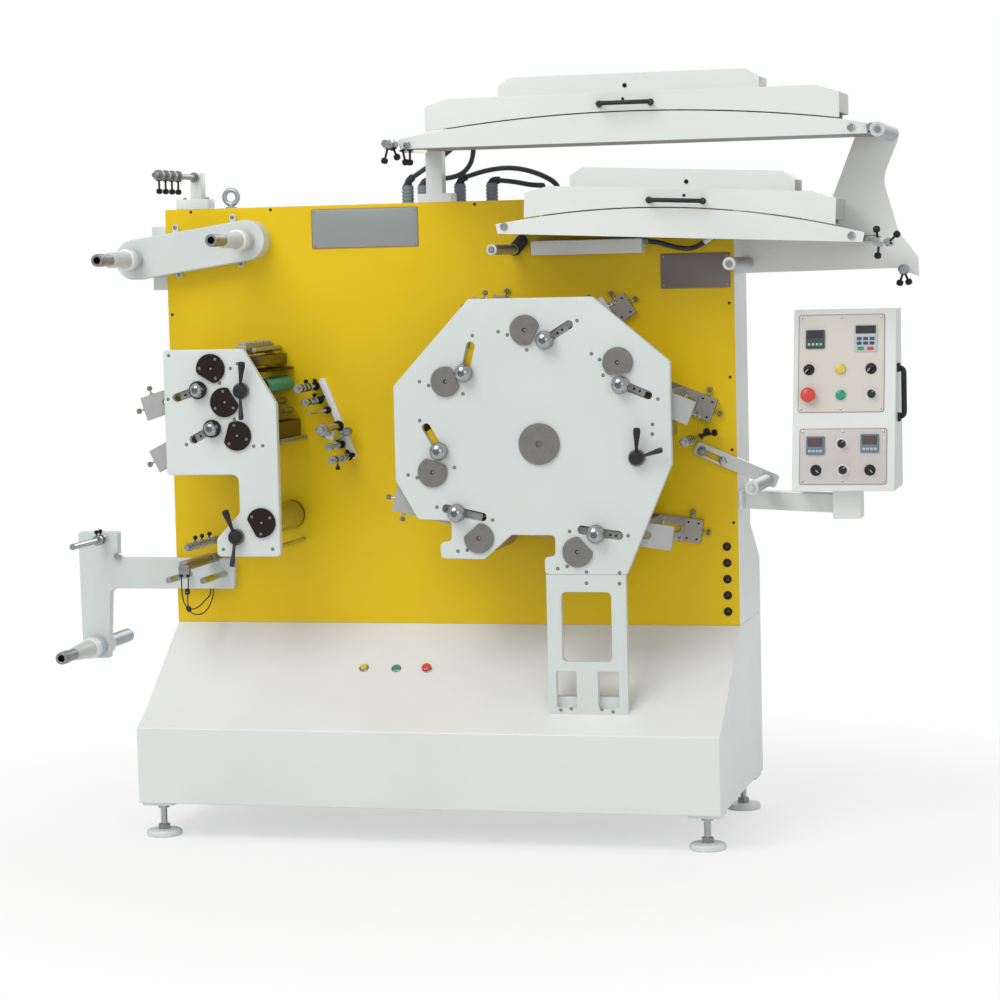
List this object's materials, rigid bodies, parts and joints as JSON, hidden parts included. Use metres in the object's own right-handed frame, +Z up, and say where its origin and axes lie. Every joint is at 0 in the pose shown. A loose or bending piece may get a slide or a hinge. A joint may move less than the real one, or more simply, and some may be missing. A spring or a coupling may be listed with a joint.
{
  "type": "flexographic printing press",
  "caption": "Floor-standing flexographic label printing press with a central drum unit, a two-colour side unit, arched dryer hoods, reel spindles and a swung control box.",
  "frame": {"origin": "on the floor under the centre of the press's overall bounding box", "axes": "+X to the right as the operator faces the press, +Y away from the operator, +Z up"},
  "size_m": [2.432, 0.713, 2.072],
  "materials": {
    "white_paint": "satin powder coat",
    "yellow_paint": "gloss enamel",
    "turned_steel": "fine turned",
    "bearing_steel": "ground",
    "chrome": "polished",
    "aluminium": "milled",
    "black_paint": "satin",
    "black_plastic": "fine grain",
    "grey_plastic": "moulded",
    "panel_cream": "satin powder coat",
    "button_plastic": "moulded",
    "hose_rubber": "corrugated"
  },
  "bodies": {
    "frame": {"base_buttons": "button_plastic", "base_cabinet": "white_paint", "bearing_caps": "bearing_steel", "body_cabinet": "white_paint", "cable_glands": "grey_plastic", "control_arm": "white_paint", "control_box": "panel_cream", "control_handle": "black_plastic", "cord_toggles": "hose_rubber", "front_panel": "yellow_paint", "guide_rods": "turned_steel", "heater_box": "white_paint", "heater_hose": "hose_rubber", "hood_bracket": "white_paint", "hood_post": "white_paint", "impression_side_plate": "white_paint", "ink_units": "aluminium", "levelling_feet": "white_paint", "lifting_eyebolt": "chrome", "locking_knobs": "chrome", "lower_dryer_bed": "white_paint", "lower_hose_1": "hose_rubber", "lower_hose_2": "hose_rubber", "lower_roller_arm": "black_paint", "rewind_bracket": "white_paint", "sensor_cord_1": "hose_rubber", "sensor_cord_2": "hose_rubber", "stay_bars": "turned_steel", "support_stand": "white_paint", "swing_bracket": "aluminium", "thread_guide": "white_paint", "two_colour_ink_units": "aluminium", "two_colour_side_plate": "white_paint", "unwind_arm": "white_paint", "upper_dryer_bed": "white_paint", "upper_hose_1": "hose_rubber", "upper_hose_2": "hose_rubber"},
    "impression_drum": {"impression_drum": "turned_steel"},
    "plate_cylinder_1": {"plate_cylinder_1": "turned_steel"},
    "plate_cylinder_2": {"plate_cylinder_2": "turned_steel"},
    "plate_cylinder_3": {"plate_cylinder_3": "turned_steel"},
    "plate_cylinder_4": {"plate_cylinder_4": "turned_steel"},
    "plate_cylinder_5": {"plate_cylinder_5": "turned_steel"},
    "plate_cylinder_6": {"plate_cylinder_6": "turned_steel"},
    "two_colour_roller_1": {"two_colour_roller_1": "turned_steel"},
    "two_colour_roller_2": {"two_colour_roller_2": "turned_steel"},
    "two_colour_roller_3": {"two_colour_roller_3": "turned_steel"},
    "draw_roller": {"draw_roller": "turned_steel"},
    "left_unwind_spindle": {"left_unwind_spindle": "turned_steel"},
    "right_unwind_spindle": {"right_unwind_spindle": "turned_steel"},
    "rewind_spindle": {"rewind_spindle": "turned_steel"},
    "upper_guide_roller": {"upper_guide_roller": "aluminium"},
    "panel_guide_roller": {"panel_guide_roller": "aluminium"},
    "lower_guide_roller": {"lower_guide_roller": "aluminium"},
    "swing_roller": {"swing_roller": "aluminium"},
    "impression_lever": {"impression_lever": "black_paint"},
    "two_colour_lever": {"two_colour_lever": "black_paint"},
    "draw_roller_lever": {"draw_roller_lever": "black_paint"},
    "upper_dryer_lid": {"upper_dryer_lid": "white_paint"},
    "lower_dryer_lid": {"lower_dryer_lid": "white_paint"}
  },
  "joints": [
    {"name": "impression_drum_turn", "type": "hinge", "parent": "frame", "child": "impression_drum", "pos_m": [0.225, -0.1565, 1.088], "axis": [0, 1, 0], "continuous": true},
    {"name": "plate_cylinder_1_turn", "type": "hinge", "parent": "frame", "child": "plate_cylinder_1", "pos_m": [0.19227, -0.1565, 1.39426], "axis": [0, 1, 0], "continuous": true},
    {"name": "plate_cylinder_2_turn", "type": "hinge", "parent": "frame", "child": "plate_cylinder_2", "pos_m": [0.44468, -0.1565, 1.30388], "axis": [0, 1, 0], "continuous": true},
    {"name": "plate_cylinder_3_turn", "type": "hinge", "parent": "frame", "child": "plate_cylinder_3", "pos_m": [-0.03124, -0.1565, 1.25889], "axis": [0, 1, 0], "continuous": true},
    {"name": "plate_cylinder_4_turn", "type": "hinge", "parent": "frame", "child": "plate_cylinder_4", "pos_m": [-0.07385, -0.1565, 1.01349], "axis": [0, 1, 0], "continuous": true},
    {"name": "plate_cylinder_5_turn", "type": "hinge", "parent": "frame", "child": "plate_cylinder_5", "pos_m": [0.05143, -0.1565, 0.83356], "axis": [0, 1, 0], "continuous": true},
    {"name": "plate_cylinder_6_turn", "type": "hinge", "parent": "frame", "child": "plate_cylinder_6", "pos_m": [0.32426, -0.1565, 0.79643], "axis": [0, 1, 0], "continuous": true},
    {"name": "two_colour_roller_1_turn", "type": "hinge", "parent": "frame", "child": "two_colour_roller_1", "pos_m": [-0.702, -0.1565, 1.303], "axis": [0, 1, 0], "continuous": true},
    {"name": "two_colour_roller_2_turn", "type": "hinge", "parent": "frame", "child": "two_colour_roller_2", "pos_m": [-0.664, -0.1565, 1.21], "axis": [0, 1, 0], "continuous": true},
    {"name": "two_colour_roller_3_turn", "type": "hinge", "parent": "frame", "child": "two_colour_roller_3", "pos_m": [-0.631, -0.1565, 1.117], "axis": [0, 1, 0], "continuous": true},
    {"name": "draw_roller_turn", "type": "hinge", "parent": "frame", "child": "draw_roller", "pos_m": [-0.568, -0.1565, 0.876], "axis": [0, 1, 0], "continuous": true},
    {"name": "left_unwind_spindle_turn", "type": "hinge", "parent": "frame", "child": "left_unwind_spindle", "pos_m": [-1.001, -0.1565, 1.608], "axis": [0, 1, 0], "continuous": true},
    {"name": "right_unwind_spindle_turn", "type": "hinge", "parent": "frame", "child": "right_unwind_spindle", "pos_m": [-0.667, -0.1565, 1.655], "axis": [0, 1, 0], "continuous": true},
    {"name": "rewind_spindle_turn", "type": "hinge", "parent": "frame", "child": "rewind_spindle", "pos_m": [-1.163, -0.1565, 0.496], "axis": [0, 1, 0], "continuous": true},
    {"name": "upper_guide_roller_turn", "type": "hinge", "parent": "frame", "child": "upper_guide_roller", "pos_m": [1.149, -0.1565, 1.895], "axis": [0, 1, 0], "continuous": true},
    {"name": "panel_guide_roller_turn", "type": "hinge", "parent": "frame", "child": "panel_guide_roller", "pos_m": [0.754, -0.1565, 1.559], "axis": [0, 1, 0], "continuous": true},
    {"name": "lower_guide_roller_turn", "type": "hinge", "parent": "frame", "child": "lower_guide_roller", "pos_m": [0.102, -0.1565, 1.611], "axis": [0, 1, 0], "continuous": true},
    {"name": "swing_roller_turn", "type": "hinge", "parent": "frame", "child": "swing_roller", "pos_m": [0.797, -0.1565, 0.966], "axis": [0, 1, 0], "continuous": true},
    {"name": "impression_lever_turn", "type": "hinge", "parent": "frame", "child": "impression_lever", "pos_m": [0.492, -0.2865, 1.049], "axis": [0, 1, 0], "range_deg": [-30, 30]},
    {"name": "two_colour_lever_turn", "type": "hinge", "parent": "frame", "child": "two_colour_lever", "pos_m": [-0.614, -0.2865, 1.241], "axis": [0, 1, 0], "range_deg": [-30, 30]},
    {"name": "draw_roller_lever_turn", "type": "hinge", "parent": "frame", "child": "draw_roller_lever", "pos_m": [-0.641, -0.2865, 0.837], "axis": [0, 1, 0], "range_deg": [-30, 30]},
    {"name": "upper_dryer_lid_hinge", "type": "hinge", "parent": "frame", "child": "upper_dryer_lid", "pos_m": [0.4765, -0.0205, 1.981], "axis": [-1, 0, 0], "range_deg": [0, 75]},
    {"name": "lower_dryer_lid_hinge", "type": "hinge", "parent": "frame", "child": "lower_dryer_lid", "pos_m": [0.60583, -0.0205, 1.7219], "axis": [-0.9989, 0, 0.0471], "range_deg": [0, 15]}
  ],
  "couplings": [
    {"joint": "plate_cylinder_1_turn", "follows": "impression_drum_turn", "ratio": -5.2917},
    {"joint": "plate_cylinder_2_turn", "follows": "impression_drum_turn", "ratio": -5.2917},
    {"joint": "plate_cylinder_3_turn", "follows": "impression_drum_turn", "ratio": -5.2917},
    {"joint": "plate_cylinder_4_turn", "follows": "impression_drum_turn", "ratio": -5.2917},
    {"joint": "plate_cylinder_5_turn", "follows": "impression_drum_turn", "ratio": -5.2917},
    {"joint": "plate_cylinder_6_turn", "follows": "impression_drum_turn", "ratio": -5.2917},
    {"joint": "two_colour_roller_1_turn", "follows": "two_colour_roller_2_turn", "ratio": -1},
    {"joint": "two_colour_roller_3_turn", "follows": "two_colour_roller_2_turn", "ratio": -1}
  ]
}
